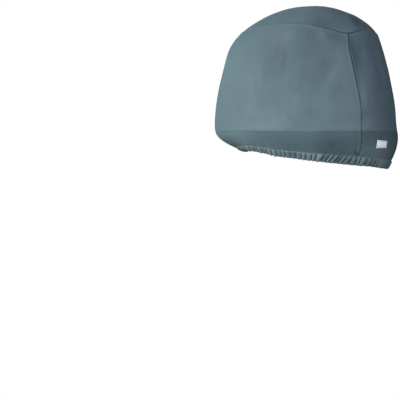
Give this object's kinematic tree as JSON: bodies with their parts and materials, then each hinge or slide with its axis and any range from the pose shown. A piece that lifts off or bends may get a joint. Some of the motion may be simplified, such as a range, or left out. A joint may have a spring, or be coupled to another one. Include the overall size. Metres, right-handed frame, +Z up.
{
  "type": "fitted outboard motor cover",
  "caption": "Hollow fitted fabric cover for an outboard motor cowl, with a domed crown, a turned-in skirt and a gathered elastic hem.",
  "frame": {"origin": "underside of the crown's highest point, where the cowl carries the cover", "axes": "+X towards the rear of the motor, +Y to starboard, +Z up"},
  "size_m": [0.7588, 0.5502, 0.6854],
  "materials": {
    "cloth": "woven, coated, weather-worn, matt",
    "label": "smooth woven ribbon, bare"
  },
  "bodies": {
    "root": {"top_panel": "cloth", "side_panel_port": "cloth", "side_panel_starboard": "cloth", "rear_panel": "cloth", "front_panel": "cloth", "label": "label"}
  },
  "joints": []
}
